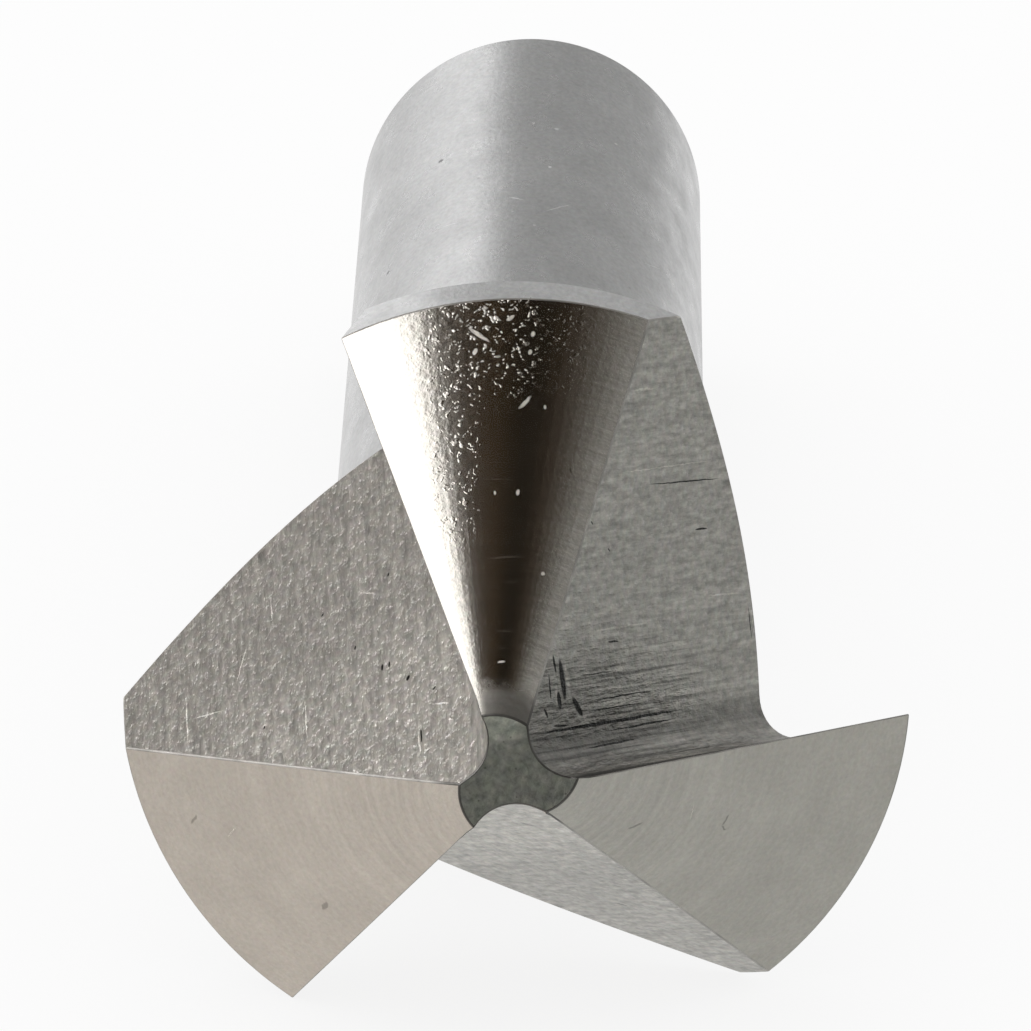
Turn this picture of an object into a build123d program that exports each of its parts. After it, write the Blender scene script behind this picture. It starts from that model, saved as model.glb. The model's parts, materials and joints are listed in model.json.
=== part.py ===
"""Countersink bit: a three-flute, right-hand cutting, 90 degree countersink on a plain round shank.

Millimetres. The tool is turned, milled and ground point up, with the rim of its cone at z = 0. It
can't be left standing, so at the end it is laid down as it comes to rest: on the cutting corner of
one tooth, the heel of the next one and the end of the shank, with its point towards -Y.
"""

import os
from math import cos, hypot, radians, sin, tan

from build123d import *

# Driving dimensions
HEAD_DIAMETER = 20.5
SHANK_DIAMETER = 10.0
OVERALL_LENGTH = 63.0
TIP_DIAMETER = 3.45
POINT_ANGLE = 90.0
TOOTH_COUNT = 3
MARGIN_LENGTH = 2.1  # cylindrical stretch behind the rim
BACK_ANGLE = 29.0  # of the tapered back of the head, from square to the axis
NECK_FILLET = 0.8  # where the shank meets the head
SHANK_CHAMFER = 0.6
LAND_ANGLE = 45.6  # from the cutting edge round to the heel
LAND_RELIEF = 0.33  # how far the land falls away at the heel, measured along the radius
RELIEF_LEAD = 45.0  # how far round, ahead of its cutting edge, the axis of a land is shifted
RAKE_ANGLE = 23.0
FLUTE_LEAD = 20.8  # between the bottom of a flute and the cutting edge, in the rake face
FLUTE_ANGLE = 78.0  # between the rake face and the heel wall
FLUTE_RADIUS = 1.1  # at the bottom of a flute

# Sizes that follow from them
head_radius = HEAD_DIAMETER / 2
shank_radius = SHANK_DIAMETER / 2
tip_radius = TIP_DIAMETER / 2
half_point = radians(POINT_ANGLE / 2)
cone_height = (head_radius - tip_radius) / tan(half_point)
head_back = -MARGIN_LENGTH - (head_radius - shank_radius) * tan(radians(BACK_ANGLE))
shank_end = cone_height - OVERALL_LENGTH
tooth_pitch = 360 / TOOTH_COUNT
clear = HEAD_DIAMETER  # how far a milling or grinding pass reaches past the work


def turned(angle, radius, z=0.0):
    """Point at an angle round the axis, counted from the first cutting edge."""
    return Vector(radius * cos(radians(angle)), radius * sin(radians(angle)), z)


# Grinding of the lands. A land is part of a cone whose axis is shifted ahead of the cutting edge, so
# that its radius falls steadily from the cutting edge to the heel.
lead = radians(RELIEF_LEAD)
axis_shift = LAND_RELIEF / (cos(lead) - cos(lead + radians(LAND_ANGLE)))
land_radius = hypot(head_radius - axis_shift * cos(lead), axis_shift * sin(lead))

# Milling of the flutes. One side of a pass makes the rake face, through the cutting edge and
# undercut by the rake angle. The other side makes the heel wall of the next tooth.
cutting_corner = turned(0, head_radius)
heel_corner = turned(tooth_pitch - LAND_ANGLE, head_radius, -LAND_RELIEF / tan(half_point))
cutting_edge = (-sin(half_point), 0, cos(half_point))
radial_face = Plane(cutting_corner, x_dir=cutting_edge, z_dir=(0, 1, 0))
milled_pass = Plane(radial_face.location * Rotation(RAKE_ANGLE, 0, 0) * Rotation(0, 0, FLUTE_LEAD))
heel = milled_pass.to_local_coords(heel_corner)
flute_bottom = milled_pass.from_local_coords(Vector(0, heel.Y - heel.Z / tan(radians(FLUTE_ANGLE)), 0))
flute_section = Plane(flute_bottom, x_dir=milled_pass.y_dir, z_dir=milled_pass.x_dir)

with BuildPart() as tool:
    # Turned bar: head, margin, tapered back and shank
    with BuildSketch(Plane.XZ) as bar:
        with BuildLine():
            Polyline(
                (0, cone_height),
                (head_radius, cone_height),
                (head_radius, -MARGIN_LENGTH),
                (shank_radius, head_back),
                (shank_radius, shank_end),
                (0, shank_end),
                close=True,
            )
        make_face()
        fillet(bar.vertices().sort_by_distance((shank_radius, head_back))[0], NECK_FILLET)
        chamfer(bar.vertices().sort_by_distance((shank_radius, shank_end))[0], SHANK_CHAMFER)
    revolve(axis=Axis.Z)

    # Lands, each ground over the sector that reaches into the flutes on both sides
    for tooth in range(TOOTH_COUNT):
        turn = tooth * tooth_pitch
        centre = turned(turn + RELIEF_LEAD, axis_shift)
        start = turn - LAND_ANGLE / 2 - tooth_pitch / 2
        with BuildSketch(Plane(centre, x_dir=turned(start, 1), z_dir=turned(start - 90, 1))):
            with BuildLine():
                Polyline(
                    (0, land_radius / tan(half_point)),
                    (land_radius + clear, land_radius / tan(half_point)),
                    (land_radius + clear, -clear / tan(half_point)),
                    close=True,
                )
            make_face()
        revolve(axis=Axis(centre, (0, 0, 1)), revolution_arc=tooth_pitch, mode=Mode.SUBTRACT)

    # Flutes
    for tooth in range(TOOTH_COUNT):
        turn = Rotation(0, 0, tooth * tooth_pitch)
        with BuildSketch(Plane(turn * flute_section.location)) as flute:
            with BuildLine():
                Polyline(
                    (0, 0),
                    (2 * clear, 0),
                    (2 * clear * cos(radians(FLUTE_ANGLE)), 2 * clear * sin(radians(FLUTE_ANGLE))),
                    close=True,
                )
            make_face()
            fillet(flute.vertices().sort_by_distance((0, 0))[0], FLUTE_RADIUS)
        extrude(amount=2 * clear, both=True, mode=Mode.SUBTRACT)

# Laying down, over the flute between the first tooth and the next
back_of_heel = turned(tooth_pitch - LAND_ANGLE, head_radius, -MARGIN_LENGTH)
heel_contact = Vector(tool.vertices().sort_by_distance(back_of_heel)[0])
under_flute = Vector(cutting_corner.X + heel_contact.X, cutting_corner.Y + heel_contact.Y).normalized()
shank_contact = under_flute * shank_radius + Vector(0, 0, shank_end + SHANK_CHAMFER)
up = (cutting_corner - shank_contact).cross(heel_contact - shank_contact).normalized()
floor = Plane(shank_contact, x_dir=up.cross(Vector(0, 0, 1)), z_dir=up)
laid = floor.to_local_coords(tool.part)
laid_box = laid.bounding_box()

with BuildPart() as countersink_bit:
    with Locations((-laid_box.center().X, -laid_box.center().Y, -laid_box.min.Z)):
        add(laid)

os.makedirs("parts", exist_ok=True)
countersink_bit.part.label = "countersink_bit"
export_step(countersink_bit.part, "parts/countersink_bit.step")
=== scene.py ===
"""Countersink bit lying at rest: fine model, steel finishes and a plain studio."""

import json
from math import acos, atan2, cos, hypot, pi, radians, sin, tan

import bmesh
import bpy
from bpy.props import FloatProperty, FloatVectorProperty, IntProperty, PointerProperty
from mathutils import Matrix, Vector


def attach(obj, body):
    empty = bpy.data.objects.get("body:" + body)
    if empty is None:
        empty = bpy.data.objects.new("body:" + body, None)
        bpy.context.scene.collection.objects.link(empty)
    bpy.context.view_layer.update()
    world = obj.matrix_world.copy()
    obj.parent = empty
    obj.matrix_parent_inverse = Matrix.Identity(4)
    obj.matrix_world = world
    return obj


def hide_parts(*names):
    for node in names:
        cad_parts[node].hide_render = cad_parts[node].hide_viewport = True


bl_info = {
    "name": "Countersink Bit",
    "version": (1, 0, 0),
    "blender": (4, 5, 0),
    "location": "View3D > Sidebar > Countersink Bit",
    "description": "Models a three-flute countersink bit and the studio it lies in",
    "category": "Object",
}

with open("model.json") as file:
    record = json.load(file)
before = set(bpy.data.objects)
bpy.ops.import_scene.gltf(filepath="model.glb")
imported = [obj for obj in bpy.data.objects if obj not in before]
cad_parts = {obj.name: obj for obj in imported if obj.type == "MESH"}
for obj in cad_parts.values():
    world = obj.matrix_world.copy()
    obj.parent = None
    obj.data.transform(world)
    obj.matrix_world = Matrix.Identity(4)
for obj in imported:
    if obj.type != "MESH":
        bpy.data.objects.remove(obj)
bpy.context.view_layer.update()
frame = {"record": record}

MM = 0.001
MEETING = 0.0005 * MM  # vertices closer than this are one
SLIVER = 0.025 * MM  # edges shorter than this come from the cuts, and are closed up
SHARP = radians(20)  # edges that turn more than this are broken
FLAT = radians(0.1)  # faces that turn less than this are joined
WHITE = (1, 1, 1, 1)
NODE = "countersink_bit"
SHANK_MOUNT = next(mount for mount in frame["record"]["mounts"] if mount["name"] == "shank")


class BitSizes(bpy.types.PropertyGroup):
    """Sizes of the bit, as they are turned, milled and ground."""

    head_diameter: FloatProperty(
        name="Head diameter", description="Diameter at the rim of the cone",
        default=20.5 * MM, subtype="DISTANCE",
    )
    shank_diameter: FloatProperty(
        name="Shank diameter", description="Diameter of the plain round shank",
        default=2 * SHANK_MOUNT["dims"]["r_mm"] * MM, subtype="DISTANCE",
    )
    overall_length: FloatProperty(
        name="Overall length", description="Length from the tip flat to the end of the shank",
        default=63.0 * MM, subtype="DISTANCE",
    )
    tip_diameter: FloatProperty(
        name="Tip diameter", description="Diameter of the flat on the point",
        default=3.45 * MM, subtype="DISTANCE",
    )
    point_angle: FloatProperty(
        name="Point angle", description="Full angle of the cone", default=radians(90), subtype="ANGLE",
    )
    teeth: IntProperty(name="Teeth", description="Number of teeth and of flutes", default=3, min=2)
    margin_length: FloatProperty(
        name="Margin length", description="Cylindrical stretch behind the rim",
        default=2.1 * MM, subtype="DISTANCE",
    )
    back_angle: FloatProperty(
        name="Back angle", description="Taper of the back of the head, from square to the axis",
        default=radians(29), subtype="ANGLE",
    )
    neck_fillet: FloatProperty(
        name="Neck fillet", description="Radius where the shank meets the head",
        default=0.8 * MM, subtype="DISTANCE",
    )
    shank_chamfer: FloatProperty(
        name="Shank chamfer", description="Chamfer at the end of the shank",
        default=0.6 * MM, subtype="DISTANCE",
    )
    land_angle: FloatProperty(
        name="Land angle", description="From the cutting edge round to the heel",
        default=radians(45.6), subtype="ANGLE",
    )
    land_relief: FloatProperty(
        name="Land relief", description="How far the land falls away at the heel, along the radius",
        default=0.33 * MM, subtype="DISTANCE",
    )
    relief_lead: FloatProperty(
        name="Relief lead", description="How far ahead of its cutting edge the axis of a land is shifted",
        default=radians(45), subtype="ANGLE",
    )
    rake_angle: FloatProperty(
        name="Rake angle", description="Undercut of the face behind the cutting edge",
        default=radians(23), subtype="ANGLE",
    )
    flute_lead: FloatProperty(
        name="Flute lead", description="Between the bottom of a flute and the cutting edge, in the rake face",
        default=radians(20.8), subtype="ANGLE",
    )
    flute_angle: FloatProperty(
        name="Flute angle", description="Between the rake face and the heel wall",
        default=radians(78), subtype="ANGLE",
    )
    flute_radius: FloatProperty(
        name="Flute radius", description="Radius at the bottom of a flute",
        default=1.1 * MM, subtype="DISTANCE",
    )
    edge_break: FloatProperty(
        name="Edge break", description="Width of the tiny rounding on every edge",
        default=0.04 * MM, subtype="DISTANCE",
    )
    turn_steps: IntProperty(
        name="Turn steps", description="Facets round a full turn", default=180, min=24,
    )


class BitFinish(bpy.types.PropertyGroup):
    """Colours and roughness of the steel."""

    shank_colour: FloatVectorProperty(
        name="Shank", description="Colour of the turned and ground shank",
        default=(0.60, 0.60, 0.60), subtype="COLOR", size=3, min=0, max=1,
    )
    land_colour: FloatVectorProperty(
        name="Lands", description="Colour of the ground lands",
        default=(0.63, 0.60, 0.55), subtype="COLOR", size=3, min=0, max=1,
    )
    flute_colour: FloatVectorProperty(
        name="Flutes", description="Colour of the milled flutes",
        default=(0.60, 0.58, 0.54), subtype="COLOR", size=3, min=0, max=1,
    )
    tip_colour: FloatVectorProperty(
        name="Tip", description="Colour of the dull flat on the point",
        default=(0.36, 0.37, 0.33), subtype="COLOR", size=3, min=0, max=1,
    )
    edge_colour: FloatVectorProperty(
        name="Edges", description="Colour of the edges, dulled by use",
        default=(0.54, 0.52, 0.49), subtype="COLOR", size=3, min=0, max=1,
    )
    edge_roughness: FloatProperty(
        name="Edge roughness", description="Gloss of the edges", default=0.42, subtype="FACTOR",
    )
    shank_roughness: FloatProperty(
        name="Shank roughness", description="Gloss of the shank", default=0.30, subtype="FACTOR",
    )
    land_roughness: FloatProperty(
        name="Land roughness", description="Gloss of the lands", default=0.17, subtype="FACTOR",
    )
    flute_roughness: FloatProperty(
        name="Flute roughness", description="Gloss of the flutes", default=0.34, subtype="FACTOR",
    )
    tip_roughness: FloatProperty(
        name="Tip roughness", description="Gloss of the tip flat", default=0.5, subtype="FACTOR",
    )


class StudioSettings(bpy.types.PropertyGroup):
    """Floor, surroundings and camera."""

    floor_colour: FloatVectorProperty(
        name="Floor", description="Colour of the pale floor",
        default=(0.9, 0.9, 0.9), subtype="COLOR", size=3, min=0, max=1,
    )
    floor_white: FloatProperty(
        name="Floor white", description="How much of the floor is plain white, without shadow",
        default=0.85, subtype="FACTOR",
    )
    soft_light: FloatProperty(
        name="Soft light", description="Level of the even light from all around", default=1.0,
    )
    floor_left: FloatVectorProperty(
        name="Floor on the left", description="What the steel sees of the floor on the left",
        default=(0.69, 0.65, 0.615), subtype="COLOR", size=3,
    )
    floor_middle: FloatVectorProperty(
        name="Floor in the middle", description="What the steel sees of the floor under and behind it",
        default=(0.54, 0.55, 0.55), subtype="COLOR", size=3,
    )
    floor_right: FloatVectorProperty(
        name="Floor on the right", description="What the steel sees of the floor on the right",
        default=(0.47, 0.48, 0.47), subtype="COLOR", size=3,
    )
    far_floor: FloatVectorProperty(
        name="Far floor", description="Brighter floor far behind",
        default=(0.94, 0.94, 0.94), subtype="COLOR", size=3,
    )
    room: FloatVectorProperty(
        name="Room", description="What the steel sees of the room above the floor",
        default=(0.39, 0.39, 0.385), subtype="COLOR", size=3,
    )
    warm_wall: FloatVectorProperty(
        name="Warm wall", description="Wall of the room on the left",
        default=(0.29, 0.268, 0.25), subtype="COLOR", size=3,
    )
    back_light: FloatVectorProperty(
        name="Back light", description="Bright panel behind, to the left",
        default=(0.76, 0.76, 0.76), subtype="COLOR", size=3,
    )
    back_strip: FloatVectorProperty(
        name="Back strip", description="Brightest part of the panel behind",
        default=(1.55, 1.55, 1.55), subtype="COLOR", size=3, max=10,
    )
    dark_corner: FloatVectorProperty(
        name="Dark corner", description="Darker part of the room behind, to the right",
        default=(0.335, 0.34, 0.33), subtype="COLOR", size=3,
    )
    camera_side: FloatVectorProperty(
        name="Camera side", description="Unlit side of the room, behind the camera",
        default=(0.18, 0.18, 0.17), subtype="COLOR", size=3,
    )
    key_light: FloatVectorProperty(
        name="Key light", description="Bright panel overhead, to the left",
        default=(2.2, 2.2, 2.2), subtype="COLOR", size=3, max=10,
    )
    dark_ceiling: FloatVectorProperty(
        name="Dark ceiling", description="Dark strip straight overhead",
        default=(0.037, 0.023, 0.011), subtype="COLOR", size=3,
    )
    black_strip: FloatVectorProperty(
        name="Black strip", description="Darkest part of the ceiling",
        default=(0.009, 0.007, 0.004), subtype="COLOR", size=3,
    )
    floor_size: FloatProperty(
        name="Floor size", description="Edge length of the floor", default=1.6, subtype="DISTANCE",
    )
    camera_aim: FloatVectorProperty(
        name="Camera aim", description="Point at the middle of the picture",
        default=(0, -21.534 * MM, 12.6 * MM), subtype="TRANSLATION", unit="LENGTH", size=3,
    )
    camera_azimuth: FloatProperty(
        name="Camera azimuth", description="Turn of the view about the vertical, from along +Y",
        default=radians(-0.498), subtype="ANGLE",
    )
    camera_elevation: FloatProperty(
        name="Camera elevation", description="How far the camera looks down",
        default=radians(18.369), subtype="ANGLE",
    )
    camera_roll: FloatProperty(
        name="Camera roll", description="Tilt of the picture about the line of sight",
        default=radians(0.133), subtype="ANGLE",
    )
    camera_distance: FloatProperty(
        name="Camera distance", description="From the camera to the aimed point",
        default=358.73 * MM, subtype="DISTANCE",
    )
    camera_lens: FloatProperty(
        name="Focal length", description="Focal length on a square 36 mm sensor, in millimetres",
        default=484.0,
    )


# --- geometry ------------------------------------------------------------------------------------


def turned(angle, radius, z=0.0):
    """Point at an angle round the axis, counted from the first cutting edge."""
    return Vector((radius * cos(angle), radius * sin(angle), z))


def on_plane(origin, x_axis, z_axis):
    """Matrix that carries local coordinates onto a plane."""
    z_axis = z_axis.normalized()
    x_axis = (x_axis - x_axis.dot(z_axis) * z_axis).normalized()
    columns = Matrix((x_axis, z_axis.cross(x_axis), z_axis)).transposed()
    return Matrix.Translation(origin) @ columns.to_4x4()


class BitShape:
    """Everything that follows from the sizes, in the upright tool's own frame."""

    def __init__(self, sizes):
        self.sizes = sizes
        self.pitch = 2 * pi / sizes.teeth
        self.head_radius = sizes.head_diameter / 2
        self.shank_radius = sizes.shank_diameter / 2
        half_point = sizes.point_angle / 2
        self.half_point = half_point
        self.cone_height = (self.head_radius - sizes.tip_diameter / 2) / tan(half_point)
        back_height = (self.head_radius - self.shank_radius) * tan(sizes.back_angle)
        self.head_back = -sizes.margin_length - back_height
        self.shank_end = self.cone_height - sizes.overall_length
        self.clear = sizes.head_diameter

        lead = sizes.relief_lead
        self.axis_shift = sizes.land_relief / (cos(lead) - cos(lead + sizes.land_angle))
        reach = self.head_radius - self.axis_shift * cos(lead)
        self.land_radius = hypot(reach, self.axis_shift * sin(lead))

        self.cutting_corner = turned(0, self.head_radius)
        heel_drop = sizes.land_relief / tan(half_point)
        heel_corner = turned(self.pitch - sizes.land_angle, self.head_radius, -heel_drop)
        cutting_edge = Vector((-sin(half_point), 0, cos(half_point)))
        radial_face = on_plane(self.cutting_corner, cutting_edge, Vector((0, 1, 0)))
        rake = Matrix.Rotation(sizes.rake_angle, 4, "X") @ Matrix.Rotation(sizes.flute_lead, 4, "Z")
        milled_pass = radial_face @ rake
        heel = milled_pass.inverted() @ heel_corner
        bottom = milled_pass @ Vector((0, heel.y - heel.z / tan(sizes.flute_angle), 0))
        along, across = milled_pass.col[0].xyz, milled_pass.col[1].xyz
        self.flute = on_plane(bottom, across, along)

        # Where the heel wall leaves the back of the margin
        wall = self.flute.to_3x3() @ Vector((-sin(sizes.flute_angle), cos(sizes.flute_angle), 0))
        level = wall.dot(bottom) + wall.z * sizes.margin_length
        spread = acos(level / (self.head_radius * hypot(wall.x, wall.y)))
        self.heel_contact = turned(atan2(wall.y, wall.x) - spread, self.head_radius, -sizes.margin_length)

    def rest(self):
        """Matrix that lays the upright tool down on its three points of contact."""
        heel_contact = self.heel_contact
        under_flute = (self.cutting_corner + heel_contact) * Vector((1, 1, 0))
        end = Vector((0, 0, self.shank_end + self.sizes.shank_chamfer))
        shank_contact = under_flute.normalized() * self.shank_radius + end
        up = (self.cutting_corner - shank_contact).cross(heel_contact - shank_contact)
        return on_plane(shank_contact, up.cross(Vector((0, 0, 1))), up).inverted()


def mesh_object(name, bm, *materials):
    """Object with the bmesh's shape and these materials."""
    mesh = bpy.data.meshes.new(name)
    bm.to_mesh(mesh)
    bm.free()
    for material in materials:
        mesh.materials.append(material)
    piece = bpy.data.objects.new(name, mesh)
    bpy.context.scene.collection.objects.link(piece)
    return piece


def close_up(bm):
    """Merges what meets and points every face outwards."""
    bmesh.ops.remove_doubles(bm, verts=bm.verts, dist=MEETING)
    bmesh.ops.recalc_face_normals(bm, faces=bm.faces)


def turned_bar(shape):
    """Bar with head, margin, tapered back and shank, before it is ground and milled."""
    sizes = shape.sizes
    profile = (
        (0, shape.cone_height),
        (shape.head_radius, shape.cone_height),
        (shape.head_radius, -sizes.margin_length),
        (shape.shank_radius, shape.head_back),
        (shape.shank_radius, shape.shank_end),
        (0, shape.shank_end),
    )
    bm = bmesh.new()
    verts = [bm.verts.new((radius, 0, z)) for radius, z in profile]
    edges = [bm.edges.new(ends) for ends in zip(verts, verts[1:])]
    bmesh.ops.spin(
        bm, geom=verts + edges, cent=(0, 0, 0), axis=(0, 0, 1), angle=2 * pi,
        steps=sizes.turn_steps, use_merge=True,
    )
    close_up(bm)
    neck_run = sizes.neck_fillet * tan((pi / 2 - sizes.back_angle) / 2)
    for z, width, segments in (
        (shape.head_back, neck_run, 8),
        (shape.shank_end, sizes.shank_chamfer, 1),
    ):
        corner = {
            v for v in bm.verts
            if abs(v.co.z - z) < sizes.edge_break and v.co.xy.length > shape.shank_radius / 2
        }
        ring = [edge for edge in bm.edges if corner.issuperset(edge.verts)]
        bmesh.ops.bevel(
            bm, geom=ring, offset=width, segments=segments, profile=0.5, affect="EDGES", material=-1,
        )
    for face in bm.faces:
        face.material_index = int(face.calc_center_median().z > shape.cone_height - sizes.edge_break)
    return bm


def land_pass(shape, tooth):
    """What grinding takes off one land: all that stands outside the shifted cone, over a sector."""
    sizes = shape.sizes
    turn = tooth * shape.pitch
    centre = turned(turn + sizes.relief_lead, shape.axis_shift)
    start = turn - sizes.land_angle / 2 - shape.pitch / 2
    top = shape.land_radius / tan(shape.half_point)
    out = shape.land_radius + shape.clear
    corners = ((0, top), (out, top), (out, -shape.clear / tan(shape.half_point)))
    bm = bmesh.new()
    verts = [bm.verts.new(centre + turned(start, radius, z)) for radius, z in corners]
    bm.faces.new(verts)
    bmesh.ops.spin(
        bm, geom=bm.verts[:] + bm.edges[:] + bm.faces[:], cent=centre, axis=(0, 0, 1), angle=shape.pitch,
        steps=sizes.turn_steps // sizes.teeth,
    )
    close_up(bm)
    return bm


def flute_pass(shape, tooth):
    """What milling takes out for one flute: a wedge with a rounded edge."""
    sizes = shape.sizes
    reach = 2 * shape.clear
    bm = bmesh.new()
    corner = bm.verts.new((0, 0, -reach))
    ends = ((reach, 0), (reach * cos(sizes.flute_angle), reach * sin(sizes.flute_angle)))
    far = [bm.verts.new((x, y, -reach)) for x, y in ends]
    wedge = bm.faces.new((corner, *far))
    bmesh.ops.bevel(
        bm, geom=[corner], offset=sizes.flute_radius / tan(sizes.flute_angle / 2), segments=12,
        profile=0.5, affect="VERTICES", material=-1,
    )
    grown = bmesh.ops.extrude_face_region(bm, geom=bm.faces[:])
    sweep = [v for v in grown["geom"] if isinstance(v, bmesh.types.BMVert)]
    bmesh.ops.translate(bm, verts=sweep, vec=(0, 0, 2 * reach))
    turn = Matrix.Rotation(tooth * shape.pitch, 4, "Z")
    bmesh.ops.transform(bm, matrix=turn @ shape.flute, verts=bm.verts)
    close_up(bm)
    return bm


def cut_with(piece, tools):
    """Cuts the piece with each tool, whose faces keep their materials. The tools are removed."""
    for tool in tools:
        cut = piece.modifiers.new(tool.name, "BOOLEAN")
        cut.operation = "DIFFERENCE"
        cut.solver = "EXACT"
        cut.material_mode = "TRANSFER"
        cut.object = tool
    apply_modifiers(piece)
    for tool in tools:
        bpy.data.objects.remove(tool)


def apply_modifiers(piece):
    """Gives the piece the mesh that its modifiers make, and clears them."""
    graph = bpy.context.evaluated_depsgraph_get()
    mesh = bpy.data.meshes.new_from_object(
        piece.evaluated_get(graph), preserve_all_data_layers=True, depsgraph=graph
    )
    mesh.name = piece.name
    piece.modifiers.clear()
    piece.data = mesh


def cut_bit(shape):
    """The upright bit. Each face has a stand-in for its finish, named after what made the face."""
    stand_in = bpy.data.materials.new
    piece = mesh_object("countersink_bit_steel", turned_bar(shape), stand_in("bar"), stand_in("tip"))
    tools = []
    for kind, tool_pass in (("land", land_pass), ("flute", flute_pass)):
        for tooth in range(shape.sizes.teeth):
            name = f"{kind}_{tooth + 1}"
            tools.append(mesh_object(name, tool_pass(shape, tooth), stand_in(name)))
    cut_with(piece, tools)
    return piece


def lay_down(piece, shape):
    """Cleans the upright bit's mesh and lays it down at rest. Gives the matrix back to upright."""
    bm = bmesh.new()
    bm.from_mesh(piece.data)
    bmesh.ops.remove_doubles(bm, verts=bm.verts, dist=SLIVER)
    bmesh.ops.dissolve_limit(
        bm, angle_limit=FLAT, verts=bm.verts, edges=bm.edges, delimit={"MATERIAL"},
    )
    close_up(bm)
    rest = shape.rest()
    bmesh.ops.transform(bm, matrix=rest, verts=bm.verts)
    low = Vector([min(v.co[axis] for v in bm.verts) for axis in range(3)])
    high = Vector([max(v.co[axis] for v in bm.verts) for axis in range(3)])
    home = Matrix.Translation(Vector((-(low.x + high.x) / 2, -(low.y + high.y) / 2, -low.z)))
    bmesh.ops.transform(bm, matrix=home, verts=bm.verts)
    bm.to_mesh(piece.data)
    bm.free()
    return (home @ rest).inverted()


def break_edges(piece, width, steel):
    """Rounds every sharp edge by this width, in a steel of its own."""
    piece.data.materials.append(steel)
    bevel = piece.modifiers.new("edge_break", "BEVEL")
    bevel.width = width
    bevel.segments = 2
    bevel.material = len(piece.data.materials) - 1
    bevel.limit_method = "ANGLE"
    bevel.angle_limit = SHARP
    bevel.use_clamp_overlap = False
    bevel.harden_normals = True
    piece.data.shade_smooth()
    apply_modifiers(piece)


# --- finishes ------------------------------------------------------------------------------------


class NodeTree:
    """Short ways to add nodes to a tree and to join them."""

    def __init__(self, tree):
        self.nodes, self.links = tree.nodes, tree.links

    def add(self, kind, inputs=None, **settings):
        """New node. Inputs are numbers or the outputs of other nodes, by name or index."""
        node = self.nodes.new(kind)
        for key, value in settings.items():
            setattr(node, key, value)
        for key, value in (inputs or {}).items():
            if isinstance(value, bpy.types.NodeSocket):
                self.links.new(value, node.inputs[key])
            else:
                node.inputs[key].default_value = value
        return node

    def math(self, operation, *values):
        return self.add("ShaderNodeMath", dict(enumerate(values)), operation=operation).outputs[0]

    def split(self, vector):
        return self.add("ShaderNodeSeparateXYZ", {0: vector}).outputs

    def ramp(self, value, low, high, to_low=0.0, to_high=1.0):
        inputs = {"Value": value, 1: low, 2: high, 3: to_low, 4: to_high}
        return self.add("ShaderNodeMapRange", inputs, interpolation_type="SMOOTHSTEP").outputs[0]


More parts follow.
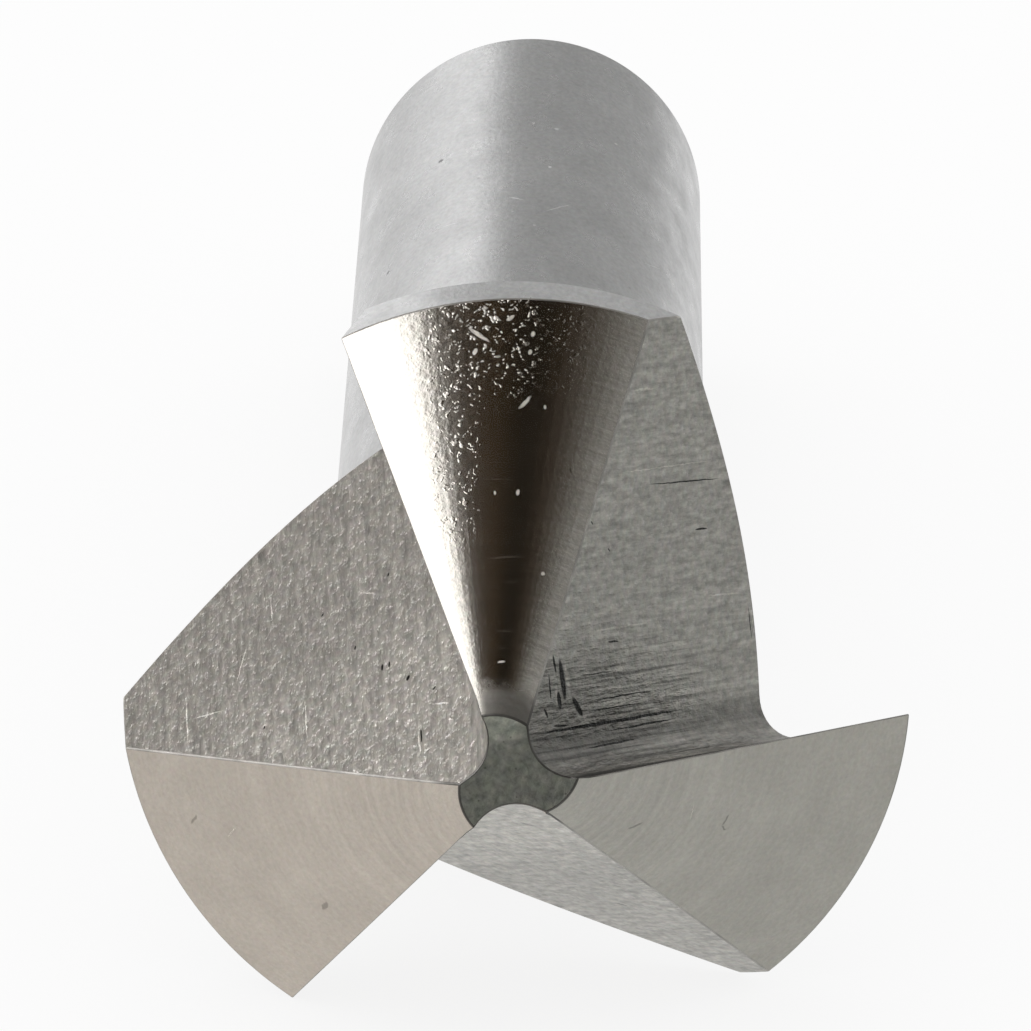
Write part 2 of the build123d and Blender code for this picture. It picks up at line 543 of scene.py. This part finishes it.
class Shader(NodeTree):
    """Node tree of one steel finish. Lengths are in millimetres."""

    def __init__(self, name, colour, roughness, placing):
        self.material = bpy.data.materials.new(name)
        self.material.use_nodes = True
        super().__init__(self.material.node_tree)
        self.steel = self.nodes["Principled BSDF"]
        self.steel.inputs["Metallic"].default_value = 1.0
        self.colour, self.tone, self.gloss = colour, 1.0, roughness
        location, rotation, _ = placing.decompose()
        inputs = {
            "Vector": self.add("ShaderNodeTexCoord").outputs["Object"],
            "Location": location / MM,
            "Rotation": rotation.to_euler(),
            "Scale": (1 / MM,) * 3,
        }
        self.place = self.add("ShaderNodeMapping", inputs).outputs[0]

    def vector_math(self, operation, *values):
        node = self.add("ShaderNodeVectorMath", dict(enumerate(values)), operation=operation)
        return node.outputs["Value" if operation == "DISTANCE" else "Vector"]

    def joined(self, x, y, z):
        return self.add("ShaderNodeCombineXYZ", {0: x, 1: y, 2: z}).outputs[0]

    def noise(self, vector, stretch, detail=2.0, roughness=0.5):
        """Noise with this many lumps to the millimetre along each axis, from -1 to 1."""
        inputs = {
            "Vector": self.vector_math("MULTIPLY", vector, stretch), "Scale": 1.0, "Detail": detail,
            "Roughness": roughness,
        }
        return self.add("ShaderNodeTexNoise", inputs, normalize=False).outputs["Fac"]

    def warped(self, vector, amount, scale):
        inputs = {"Vector": vector, "Scale": scale, "Detail": 1.0}
        wander = self.add("ShaderNodeTexNoise", inputs, normalize=False).outputs["Color"]
        return self.vector_math("MULTIPLY_ADD", wander, (amount,) * 3, vector)

    def spots(self, vector, stretch, size, share):
        """Scattered spots. The size is in cells, and only this share of the cells holds one."""
        cells = self.vector_math("MULTIPLY", vector, stretch)
        cell = self.add("ShaderNodeTexVoronoi", {"Vector": cells, "Scale": 1.0})
        chance = self.add("ShaderNodeSeparateColor", {0: cell.outputs["Color"]}).outputs[0]
        held = self.math("LESS_THAN", chance, share)
        return self.math("MULTIPLY", held, self.ramp(cell.outputs["Distance"], size, size / 3))

    def scratches(self, vector, marks, edge=0.5):
        """Marks in the YZ plane, each from one point to another with a half width: y, z, y, z, width."""
        strongest = 0.0
        for y1, z1, y2, z2, width in marks:
            inputs = {
                "Vector": vector,
                "Location": (0, (y1 + y2) / 2, (z1 + z2) / 2),
                "Rotation": (atan2(y1 - y2, z2 - z1), 0, 0),
                "Scale": (50, width, hypot(y2 - y1, z2 - z1) / 2 + width),
            }
            oval = self.add("ShaderNodeMapping", inputs, vector_type="TEXTURE").outputs[0]
            near = self.add("ShaderNodeTexGradient", {"Vector": oval}, gradient_type="SPHERICAL")
            strongest = self.math("MAXIMUM", strongest, near.outputs["Fac"])
        return self.ramp(strongest, 0.0, edge)

    def shade(self, mask, factor):
        """Multiplies the colour by the factor where the mask is 1."""
        change = self.math("MULTIPLY_ADD", mask, factor - 1.0, 1.0)
        self.tone = self.math("MULTIPLY", self.tone, change)

    def roughen(self, mask, amount):
        """Adds to the roughness where the mask is 1."""
        self.gloss = self.math("MULTIPLY_ADD", mask, amount, self.gloss)

    def bump(self, height, depth):
        """Relief of the given depth."""
        node = self.add("ShaderNodeBump", {"Height": height, "Distance": depth * MM, "Strength": 1.0})
        if self.steel.inputs["Normal"].links:
            self.links.new(self.steel.inputs["Normal"].links[0].from_socket, node.inputs["Normal"])
        self.links.new(node.outputs[0], self.steel.inputs["Normal"])

    def finished(self, cast, cast_scale):
        """Joins up colour and roughness. The cast varies each channel by itself, by this share."""
        inputs = {"Vector": self.place, "Scale": cast_scale, "Detail": 0.0}
        wander = self.add("ShaderNodeTexNoise", inputs, normalize=False).outputs["Color"]
        cast = self.vector_math("MULTIPLY_ADD", wander, [cast * c for c in self.colour], self.colour)
        colour = self.add("ShaderNodeVectorMath", {0: cast, "Scale": self.tone}, operation="SCALE")
        self.links.new(colour.outputs[0], self.steel.inputs["Base Color"])
        if isinstance(self.gloss, bpy.types.NodeSocket):
            self.links.new(self.gloss, self.steel.inputs["Roughness"])
        else:
            self.steel.inputs["Roughness"].default_value = self.gloss
        return self.material


# Marks of use, each given as y, z, y, z and half width in millimetres. On the shank, y runs round
# from its top; on a land, across it from its middle; on a flute, up its wall. z runs along the tool
# or along the flute. Lands and flutes have a row of marks for each of three teeth, which further
# teeth would repeat.
MARKED_TEETH = 3
WORN_LAND = 2
PAINTED_SHEEN_FLUTE, GOUGED_FLUTE, PITTED_FLUTE = range(MARKED_TEETH)
FLUTE_PITTING = (0.3, 0.25, 0.75)

SHANK_PITS = (
    (2.61, -40.92, 2.61, -40.74, 0.09),
    (4.39, -32.00, 4.39, -31.82, 0.09),
)
SHANK_SCRATCHES = (
    (0.51, -33.70, 0.02, -33.24, 0.05),
    (-0.41, -31.75, -1.40, -33.60, 0.04),
    (-0.13, -42.90, -0.13, -42.78, 0.06),
    (-0.82, -42.47, -0.82, -42.29, 0.09),
    (-2.64, -43.21, -2.64, -43.07, 0.07),
    (-0.65, -37.57, -0.65, -37.41, 0.08),
    (-0.26, -30.31, -0.26, -30.19, 0.06),
    (2.83, -32.58, 1.72, -31.90, 0.03),
    (-3.49, -30.75, -4.74, -32.99, 0.03),
)
LAND_DENTS = (
    ((-1.80, 1.20, -1.62, 0.98, 0.056), (1.50, 3.30, 1.66, 3.08, 0.072)),
    ((-0.50, 6.43, -0.19, 6.21, 0.04), (0.46, 4.12, 0.10, 4.12, 0.04), (0.10, 4.12, 0.02, 3.96, 0.032)),
    ((-1.86, 3.30, -1.80, 3.20, 0.032), (1.20, 1.40, 1.10, 1.20, 0.032)),
)
LAND_SCRATCHES = (
    ((-1.20, 2.20, -1.00, 1.80, 0.015),),
    ((0.60, 5.20, 0.10, 5.05, 0.015),),
    (
        (0.68, 0.43, 0.12, 0.76, 0.053), (-0.56, 2.14, -0.88, 1.87, 0.053),
        (0.54, 0.98, 0.48, 0.92, 0.06), (-0.87, 0.96, -0.91, 0.92, 0.053),
        (-0.97, 0.57, -1.00, 0.53, 0.06), (-1.22, 2.06, -1.23, 2.04, 0.045),
        (-0.44, 3.93, -0.47, 3.87, 0.053), (0.13, 3.94, 0.13, 3.92, 0.038),
        (-1.00, 5.49, -1.03, 5.47, 0.045), (0.20, 7.45, 0.02, 7.42, 0.03),
        (-0.35, 0.28, -0.52, 0.20, 0.053),
    ),
)
WORN_LAND_LINES = (
    (0.60, 3.63, -0.55, 3.65, 0.02), (0.46, 5.31, -0.62, 5.21, 0.03),
    (-0.05, 5.78, -0.36, 5.76, 0.025), (0.30, 6.80, -0.30, 6.78, 0.02),
    (0.35, 3.30, -0.20, 3.28, 0.015), (0.25, 7.15, -0.05, 7.14, 0.015),
)
FLUTE_GOUGES = (
    ((7.05, 4.35, 6.85, 3.90, 0.031), (2.30, 9.40, 2.05, 9.00, 0.025)),
    (
        (3.02, 10.07, 2.13, 9.81, 0.16), (3.20, 10.48, 2.79, 10.32, 0.07),
        (2.20, 10.20, 1.95, 10.10, 0.13), (2.05, 9.34, 1.64, 8.81, 0.12),
        (2.75, 10.74, 2.12, 10.64, 0.05), (1.90, 11.05, 1.70, 10.85, 0.06),
        (1.46, 10.50, 1.42, 9.60, 0.035), (1.33, 12.20, 1.31, 2.00, 0.05),
        (1.93, 8.40, 1.92, 4.30, 0.022), (1.68, 8.70, 1.66, 5.20, 0.022),
        (7.12, 4.60, 7.02, -0.10, 0.022), (5.82, 1.70, 5.80, 0.90, 0.031),
        (3.33, 7.20, 3.31, 6.50, 0.031), (6.40, 8.04, 6.34, 7.96, 0.031),
        (5.66, 7.05, 5.60, 6.95, 0.031), (3.66, -1.55, 2.78, -1.76, 0.031),
        (1.10, 7.50, 1.12, 3.00, 0.031), (0.75, 9.00, 0.78, 5.50, 0.031),
        (2.60, 9.00, 2.58, 6.80, 0.019),
    ),
    (
        (2.84, 7.24, 2.80, 7.14, 0.056), (3.56, 6.40, 3.54, 6.20, 0.037),
        (3.36, 6.42, 3.34, 6.22, 0.031), (2.57, 9.30, 2.56, 9.85, 0.031),
        (4.30, 5.10, 4.28, 5.00, 0.031), (5.20, 3.20, 5.16, 3.14, 0.031),
        (3.20, 3.00, 3.18, 2.90, 0.031), (7.10, 6.30, 7.08, 6.20, 0.025),
        (2.10, 8.10, 2.06, 8.05, 0.037),
    ),
)
FLUTE_SCRATCHES = (
    ((3.00, 9.60, 2.70, 8.20, 0.019), (4.40, 6.80, 4.10, 6.30, 0.015)),
    (
        (3.65, 8.40, 3.65, 4.60, 0.038), (7.51, 6.70, 7.51, -0.10, 0.022),
        (9.53, 5.60, 9.52, 3.90, 0.038), (1.47, 9.60, 1.45, 2.60, 0.038),
        (3.70, -1.72, 2.80, -1.92, 0.038), (4.10, 1.20, 4.02, -1.20, 0.03),
        (2.15, 8.00, 2.13, 3.40, 0.022), (2.92, 9.78, 2.20, 9.52, 0.11),
        (2.50, 10.34, 1.90, 10.28, 0.07), (1.66, 8.90, 1.50, 8.55, 0.053),
        (1.60, 9.05, 1.58, 8.00, 0.038),
    ),
    (
        (9.37, 3.50, 9.38, 5.50, 0.026), (5.86, 5.90, 5.88, 7.70, 0.026),
        (9.28, 4.50, 8.20, 4.84, 0.026), (3.05, 7.00, 3.03, 6.94, 0.068),
        (7.90, 4.20, 7.40, 2.60, 0.022), (6.70, 1.40, 6.66, 2.60, 0.022),
        (2.20, 8.60, 1.70, 8.90, 0.038), (3.90, 3.20, 3.60, 3.40, 0.03),
        (2.64, 9.30, 2.62, 10.30, 0.03),
    ),
)


def shank_steel(finish, placing, radius, margin_length):
    """Turned and ground: satin and cloudy, with fine grain, a few pits, light scratches and a painted
    highlight on one side of the margin.
    """
    shader = Shader("shank_steel", finish.shank_colour, finish.shank_roughness, placing)
    x, y, z = shader.split(shader.place)
    round_about = shader.math("MULTIPLY", shader.math("ARCTAN2", y, x), radius / MM)
    unrolled = shader.joined(0.0, round_about, z)
    shader.shade(shader.noise(shader.place, (0.5, 0.5, 0.2), 4.0), 1.10)
    grain = shader.noise(shader.place, (7.0, 7.0, 3.0), 3.0, 0.65)
    shader.shade(grain, 1.13)
    shader.roughen(shader.noise(shader.place, (1.2, 1.2, 0.5), 3.0), 0.06)

    # Painted highlight: the margin is painted lighter towards one side
    margin_end = -margin_length / MM
    on_margin = shader.ramp(z, margin_end - 0.05, margin_end + 0.1)
    shader.shade(shader.math("MULTIPLY", on_margin, shader.ramp(y, 2.0, -1.5)), 1.4)

    pits = shader.scratches(unrolled, SHANK_PITS)
    shader.shade(pits, 0.25)
    scattered = shader.spots(unrolled, (1.0, 1.6, 0.6), 0.10, 0.25)
    shader.shade(scattered, 0.8)
    pale = shader.scratches(shader.warped(unrolled, 0.03, 4.0), SHANK_SCRATCHES)
    shader.shade(pale, 1.5)
    shader.roughen(pale, 0.3)
    shader.bump(grain, 0.0018)
    shader.bump(pits, -0.02)
    return shader.finished(0.03, 5.0)


def land_steel(finish, placing, tooth):
    """Ground lands: fine arcs round the axis, with small dents, flecks and scratches."""
    shader = Shader(f"land_steel_{tooth + 1}", finish.land_colour, finish.land_roughness, placing)
    tooth %= MARKED_TEETH
    x, y, z = shader.split(shader.place)
    angle = shader.math("ARCTAN2", y, x)
    arcs = shader.noise(shader.joined(angle, z, 0.0), (1.2, 7.0, 1.0), 3.0)
    shader.shade(shader.math("MULTIPLY", arcs, shader.ramp(z, 1.0, 7.0, 0.25, 1.0)), 1.09)
    shader.shade(shader.noise(shader.place, (0.7, 0.7, 0.7), 2.0), 1.07)
    grain = shader.noise(shader.place, (8.0, 8.0, 8.0), 3.0, 0.6)
    shader.shade(grain, 1.08)
    dents = shader.scratches(shader.warped(shader.place, 0.04, 5.0), LAND_DENTS[tooth])
    shader.shade(dents, 0.62)
    pale = shader.scratches(shader.warped(shader.place, 0.015, 6.0), LAND_SCRATCHES[tooth])
    arc_depth = 0.002
    if tooth == WORN_LAND:
        pale = shader.math("MAXIMUM", pale, worn_land(shader, y, z))
        arc_depth = 0.0008
    shader.shade(pale, 1.55)
    shader.roughen(pale, 0.45)
    shader.bump(arcs, arc_depth)
    shader.bump(grain, 0.0005)
    return shader.finished(0.025, 6.0)


def worn_land(shader, y, z):
    """Wear of one land: chipped at the rim, rough along one side, dull by the tip.

    Gives the mask of its pale marks.
    """
    middle = shader.ramp(shader.math("ABSOLUTE", shader.math("ADD", y, 0.4)), 2.4, 1.3)
    by_rim = shader.math("MULTIPLY", shader.ramp(z, 2.5, 0.4), middle)
    side = shader.math("MULTIPLY", shader.ramp(y, 0.3, 0.8), shader.ramp(y, 1.9, 1.2))
    side = shader.math("MULTIPLY", side, shader.ramp(z, 5.5, 2.5, 0.0, 0.45))
    worn = shader.math("MAXIMUM", by_rim, side)
    worn = shader.math("MULTIPLY", worn, shader.ramp(y, -1.4, -0.2, 0.2, 1.0))
    wavy = shader.warped(shader.place, 0.12, 5.0)
    coarse = shader.spots(wavy, (5.0, 5.0, 5.0), 0.42, 0.32)
    fine = shader.spots(wavy, (9.0, 9.0, 9.0), 0.40, 0.34)
    flecks = shader.math("MULTIPLY", shader.math("MAXIMUM", coarse, fine), worn)
    shader.bump(flecks, 0.02)
    lines = shader.scratches(shader.place, WORN_LAND_LINES)

    rough_side = shader.math("MULTIPLY", shader.ramp(y, 0.3, 1.5), shader.ramp(z, 8.0, 0.0, 0.3, 1.0))
    lumps = shader.noise(shader.place, (4.5, 4.5, 4.5), 2.0, 0.6)
    shader.bump(shader.math("MULTIPLY", lumps, rough_side), 0.0012)

    uneven = shader.noise(shader.place, (3.0, 3.0, 3.0), 3.0)
    dulled = shader.ramp(shader.math("MULTIPLY_ADD", uneven, 0.12, z), 7.7, 8.3)
    dulled = shader.math("MULTIPLY", dulled, shader.ramp(y, 0.75, 0.5))
    shader.roughen(dulled, 0.35)
    shader.shade(dulled, 0.42)
    shader.shade(shader.math("MULTIPLY", worn, shader.noise(wavy, (6.0, 6.0, 6.0), 3.0)), 1.5)
    return shader.math("MAXIMUM", shader.math("MULTIPLY", flecks, 0.55), shader.math("MULTIPLY", lines, 0.14))


def flute_steel(finish, placing, tooth):
    """Milled flutes: streaks along the pass, specks, gouges and bright scratches, with painted shade and
    painted reflection on the walls.
    """
    shader = Shader(f"flute_steel_{tooth + 1}", finish.flute_colour, finish.flute_roughness, placing)
    tooth %= MARKED_TEETH
    _, y, z = shader.split(shader.place)
    streaks = shader.noise(shader.place, (7.0, 7.0, 1.2), 3.0, 0.6)
    shader.shade(streaks, 1.27)
    lines = shader.noise(shader.place, (3.0, 3.0, 0.12), 3.0, 0.7)
    shader.shade(lines, 1.12)
    mottle = shader.noise(shader.place, (5.0, 5.0, 3.0), 2.0, 0.65)
    shader.shade(mottle, 1.22)

    near_tip = shader.ramp(z, 2.0, 10.0)
    wavy = shader.warped(shader.place, 0.10, 3.0)
    pitted = shader.math("MULTIPLY", near_tip, FLUTE_PITTING[tooth])
    craters = shader.math("MULTIPLY", shader.spots(wavy, (3.6, 3.6, 2.6), 0.60, 0.42), pitted)
    specks = shader.math("MULTIPLY", shader.spots(wavy, (3.6, 3.6, 2.6), 0.40, 0.42), pitted)
    shader.shade(craters, 0.8)
    shader.shade(specks, 1.75)
    shader.bump(craters, -0.012)

    gouges = shader.scratches(shader.warped(shader.place, 0.02, 1.6), FLUTE_GOUGES[tooth], 0.3)
    shader.shade(gouges, 0.04)
    pale = shader.scratches(shader.warped(shader.place, 0.02, 4.0), FLUTE_SCRATCHES[tooth])
    shader.shade(pale, 1.5)
    shader.roughen(pale, 0.2)
    # Painted reflection: the first flute's wall is lighter low down, towards the bottom of the flute
    if tooth == PAINTED_SHEEN_FLUTE:
        shader.shade(shader.ramp(y, 5.0, 2.5), 1.22)
    if tooth == GOUGED_FLUTE:
        painted_shade_and_cut_lines(shader, y, z)
        # Painted shade: a little darker towards the tip
        shader.shade(near_tip, 0.98)
    if tooth == PITTED_FLUTE:
        # Painted shade: the wall darker towards the rim and lighter towards the tip
        shader.shade(shader.ramp(z, 7.0, 4.0), 0.88)
        shader.shade(near_tip, 1.06)
    shader.bump(streaks, 0.010)
    shader.bump(mottle, 0.010)
    return shader.finished(0.045, 5.0)


def painted_shade_and_cut_lines(shader, y, z):
    """Painted shade on the gouged flute's floor, with a painted reflection near its very bottom and a painted
    shadow along its bottom edge; painted shade on the lower wall towards the tip; and the cutter's lines
    above the floor.
    """
    # Painted shade on the floor of the flute, a painted reflection lighter near its very bottom, and a
    # painted shadow along the bottom edge
    shader.shade(shader.ramp(y, 1.7, 1.0), 0.58)
    shader.shade(shader.ramp(y, 0.90, 0.35), 1.5)
    shader.shade(shader.ramp(y, 0.10, 0.06), 0.12)
    # Painted shade: the lower wall darker towards the tip
    low = shader.ramp(y, 3.8, 2.5)
    shader.shade(shader.math("MULTIPLY", low, shader.ramp(z, 3.0, 8.5)), 0.74)
    cut_lines = shader.noise(shader.place, (0.0, 9.0, 0.12), 3.0, 0.6)
    low = shader.math("MULTIPLY", low, shader.ramp(z, 0.0, 4.0, 0.15, 1.0))
    shader.shade(shader.math("MULTIPLY", low, shader.ramp(cut_lines, -0.1, -0.5)), 0.5)
    shader.shade(shader.math("MULTIPLY", low, shader.ramp(cut_lines, 0.15, 0.6)), 1.3)


def edge_steel(finish, placing, margin_length):
    """Edges dulled by use, with painted shade round the tip and a painted highlight along the back of the
    margin.
    """
    shader = Shader("edge_steel", finish.edge_colour, finish.edge_roughness, placing)
    shader.shade(shader.noise(shader.place, (1.5, 1.5, 1.5), 3.0), 1.3)
    z = shader.split(shader.place)[2]
    # Painted shade on the edges round the tip
    shader.shade(shader.ramp(z, 7.7, 8.2), 0.35)
    # Painted highlight along the back edge of the margin
    margin_end = -margin_length / MM
    below = shader.ramp(z, margin_end - 0.2, margin_end)
    above = shader.ramp(z, margin_end + 0.3, margin_end + 0.1)
    shader.shade(shader.math("MULTIPLY", below, above), 1.8)
    return shader.finished(0.02, 3.0)


def tip_steel(finish, placing):
    """Dull flat on the point, with one patch of painted light on its upper side."""
    shader = Shader("tip_steel", finish.tip_colour, finish.tip_roughness, placing)
    mottle = shader.noise(shader.place, (4.0, 4.0, 4.0), 3.0, 0.65)
    shader.shade(mottle, 1.35)
    specks = shader.spots(shader.place, (5.0, 5.0, 5.0), 0.2, 0.3)
    shader.shade(specks, 0.6)
    # Painted light: a paler patch towards the upper side of the flat
    from_patch = shader.vector_math("DISTANCE", shader.place, (-1.0, -1.05, 8.5))
    shader.shade(shader.ramp(from_patch, 0.95, 0.3), 1.7)
    shader.bump(mottle, 0.008)
    return shader.finished(0.05, 4.0)


def steels(finish, shape, to_tool):
    """Every finish of the bit, by the name of its stand-in, and the one of its edges."""
    top = to_tool.to_3x3() @ Vector((0, 0, 1))
    to_shank = Matrix.Rotation(-atan2(top.y, top.x), 4, "Z") @ to_tool
    margin_length = shape.sizes.margin_length
    made = {
        "bar": shank_steel(finish, to_shank, shape.shank_radius, margin_length),
        "tip": tip_steel(finish, to_tool),
        "edges": edge_steel(finish, to_tool, margin_length),
    }
    for tooth in range(shape.sizes.teeth):
        middle = tooth * shape.pitch - shape.sizes.land_angle / 2
        to_land = Matrix.Rotation(-middle, 4, "Z") @ to_tool
        to_flute = (Matrix.Rotation(tooth * shape.pitch, 4, "Z") @ shape.flute).inverted() @ to_tool
        made[f"land_{tooth + 1}"] = land_steel(finish, to_land, tooth)
        made[f"flute_{tooth + 1}"] = flute_steel(finish, to_flute, tooth)
    return made


# --- studio --------------------------------------------------------------------------------------


def add_floor(settings):
    """Plain pale floor, which keeps a faint shadow of the bit."""
    bm = bmesh.new()
    bmesh.ops.create_grid(bm, x_segments=1, y_segments=1, size=settings.floor_size / 2)
    floor = mesh_object("floor", bm)
    material = bpy.data.materials.new("floor")
    material.use_nodes = True
    tree = NodeTree(material.node_tree)
    pale = tree.nodes["Principled BSDF"]
    pale.inputs["Base Color"].default_value = (*settings.floor_colour, 1)
    pale.inputs["Roughness"].default_value = 0.8
    seen = tree.add("ShaderNodeLightPath").outputs["Is Camera Ray"]
    white_share = tree.math("MULTIPLY", seen, settings.floor_white)
    white = tree.add("ShaderNodeEmission")
    shaders = {"Fac": white_share, 1: pale.outputs["BSDF"], 2: white.outputs["Emission"]}
    mix = tree.add("ShaderNodeMixShader", shaders)
    tree.links.new(mix.outputs["Shader"], tree.nodes["Material Output"].inputs["Surface"])
    floor.data.materials.append(material)
    floor.visible_glossy = False


class Surroundings(NodeTree):
    """What the steel reflects: broad soft-edged panels, each bounded by angles of direction."""

    def __init__(self, tree, colour):
        super().__init__(tree)
        x, y, z = self.split(self.add("ShaderNodeTexCoord").outputs["Generated"])
        self.azimuth, self.elevation = self.math("ARCTAN2", x, y), self.math("ARCSINE", z)
        self.tilt, self.lean = self.math("ARCTAN2", x, z), self.math("ARCSINE", y)
        self.colour = (*colour, 1)

    def panel(self, colour, *sides):
        """Lays a panel over what is there.

        A side is an angle, its edge and softness in degrees, and 1 or -1 for in above or below it.
        """
        mask = 1.0
        for angle, edge, softness, inward in sides:
            step = self.ramp(angle, radians(edge - softness), radians(edge + softness))
            if inward < 0:
                step = self.math("SUBTRACT", 1.0, step)
            mask = self.math("MULTIPLY", mask, step)
        layers = {"Factor": mask, "A": self.colour, "B": (*colour, 1)}
        self.colour = self.add("ShaderNodeMix", layers, data_type="RGBA").outputs["Result"]


def add_world(settings):
    """Even soft light, a white background, and a studio for the steel to reflect."""
    world = bpy.data.worlds.new("studio")
    world.use_nodes = True
    world.cycles.sampling_method = "NONE"
    bpy.context.scene.world = world
    around = Surroundings(world.node_tree, settings.floor_left)
    azimuth, elevation, tilt, lean = around.azimuth, around.elevation, around.tilt, around.lean
    left, strips = (azimuth, -34, 6, 1), ((lean, -60, 8, 1), (lean, 30, 10, -1))
    panels = (
        (settings.floor_middle, (azimuth, -35, 20, 1)),
        (settings.floor_right, (azimuth, 35, 25, 1)),
        (settings.far_floor, (azimuth, -45, 10, 1), (azimuth, 40, 10, -1), (elevation, -23, 7, 1)),
        (settings.room, (elevation, -6, 5, 1)),
        (settings.warm_wall, (azimuth, -95, 8, 1), (azimuth, -34, 6, -1), (elevation, 6, 10, 1)),
        (settings.back_light, left, (azimuth, -5, 3.5, -1), (elevation, -5, 5, 1), (elevation, 20, 6, -1)),
        (settings.back_strip, left, (azimuth, -7, 3, -1), (elevation, 7, 4, 1), (elevation, 18, 4, -1)),
        (
            settings.dark_corner,
            (azimuth, 32, 8, 1), (azimuth, 74, 8, -1), (elevation, -34, 8, 1), (elevation, 8, 8, -1),
        ),
        (settings.camera_side, (azimuth, 112, 6, 1), (elevation, -40, 10, 1)),
        (settings.camera_side, (azimuth, -112, 6, -1), (elevation, -40, 10, 1)),
        (settings.key_light, (tilt, -80, 8, 1), (tilt, -16, 2, -1), (lean, -50, 8, 1), (lean, 14, 8, -1)),
        (settings.dark_ceiling, (tilt, -16, 2, 1), (tilt, 20, 8, -1), *strips),
        (settings.black_strip, (tilt, 1, 4, 1), (tilt, 12, 4, -1), *strips),
    )
    for colour, *sides in panels:
        around.panel(colour, *sides)

    ray = around.add("ShaderNodeLightPath").outputs
    studio = around.add("ShaderNodeBackground", {"Color": around.colour})
    even = around.add("ShaderNodeBackground", {"Color": WHITE, "Strength": settings.soft_light})
    white = around.add("ShaderNodeBackground", {"Color": WHITE})
    shaders = {"Fac": ray["Is Glossy Ray"], 1: even.outputs[0], 2: studio.outputs[0]}
    lit = around.add("ShaderNodeMixShader", shaders)
    shaders = {"Fac": ray["Is Camera Ray"], 1: lit.outputs[0], 2: white.outputs[0]}
    seen = around.add("ShaderNodeMixShader", shaders)
    around.links.new(seen.outputs[0], around.nodes["World Output"].inputs["Surface"])


def add_camera(settings):
    """Camera on the aimed point, at the azimuth, elevation, roll and distance of the settings."""
    azimuth, elevation = settings.camera_azimuth, settings.camera_elevation
    aim = Vector(settings.camera_aim)
    forward = Vector((sin(azimuth) * cos(elevation), cos(azimuth) * cos(elevation), -sin(elevation)))
    camera = bpy.data.objects.new("camera", bpy.data.cameras.new("camera"))
    camera.data.lens = settings.camera_lens
    camera.data.sensor_width = 36
    camera.data.clip_start = 0.01
    facing = forward.to_track_quat("-Z", "Y").to_matrix().to_4x4()
    roll = Matrix.Rotation(settings.camera_roll, 4, "Z")
    camera.matrix_world = Matrix.Translation(aim - forward * settings.camera_distance) @ facing @ roll
    bpy.context.scene.collection.objects.link(camera)
    bpy.context.scene.camera = camera


# --- add-on --------------------------------------------------------------------------------------


class COUNTERSINK_OT_bit(bpy.types.Operator):
    """Models the bit, lays it down at rest and gives it its finishes"""

    bl_idname = "countersink.bit"
    bl_label = "Countersink bit"

    def execute(self, context):
        shape = BitShape(context.scene.bit_sizes)
        piece = cut_bit(shape)
        to_tool = lay_down(piece, shape)
        made = steels(context.scene.bit_finish, shape, to_tool)
        for slot in piece.material_slots:
            slot.material = made[slot.material.name]
        break_edges(piece, shape.sizes.edge_break, made["edges"])

        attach(piece, "root")
        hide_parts(NODE)
        return {"FINISHED"}


class COUNTERSINK_OT_studio(bpy.types.Operator):
    """Lays the floor, lights the bit and places the camera"""

    bl_idname = "countersink.studio"
    bl_label = "Studio"

    def execute(self, context):
        settings = context.scene.studio_settings
        add_floor(settings)
        add_world(settings)
        add_camera(settings)
        context.scene.view_settings.view_transform = "Standard"
        return {"FINISHED"}


class COUNTERSINK_PT_panel(bpy.types.Panel):
    """Lists the sizes, finishes and operators"""

    bl_idname = "COUNTERSINK_PT_panel"
    bl_label = "Countersink Bit"
    bl_space_type = "VIEW_3D"
    bl_region_type = "UI"
    bl_category = "Countersink Bit"

    def draw(self, context):
        for settings in (context.scene.bit_sizes, context.scene.bit_finish, context.scene.studio_settings):
            box = self.layout.box()
            for name in settings.__annotations__:
                box.prop(settings, name)
        self.layout.operator(COUNTERSINK_OT_bit.bl_idname)
        self.layout.operator(COUNTERSINK_OT_studio.bl_idname)


CLASSES = (
    BitSizes, BitFinish, StudioSettings, COUNTERSINK_OT_bit, COUNTERSINK_OT_studio, COUNTERSINK_PT_panel,
)


def register():
    for cls in CLASSES:
        bpy.utils.register_class(cls)
    bpy.types.Scene.bit_sizes = PointerProperty(type=BitSizes)
    bpy.types.Scene.bit_finish = PointerProperty(type=BitFinish)
    bpy.types.Scene.studio_settings = PointerProperty(type=StudioSettings)


def unregister():
    del bpy.types.Scene.studio_settings
    del bpy.types.Scene.bit_finish
    del bpy.types.Scene.bit_sizes
    for cls in reversed(CLASSES):
        bpy.utils.unregister_class(cls)


def main():
    register()
    bpy.ops.countersink.bit()
    bpy.ops.countersink.studio()


if __name__ == "__main__":
    main()
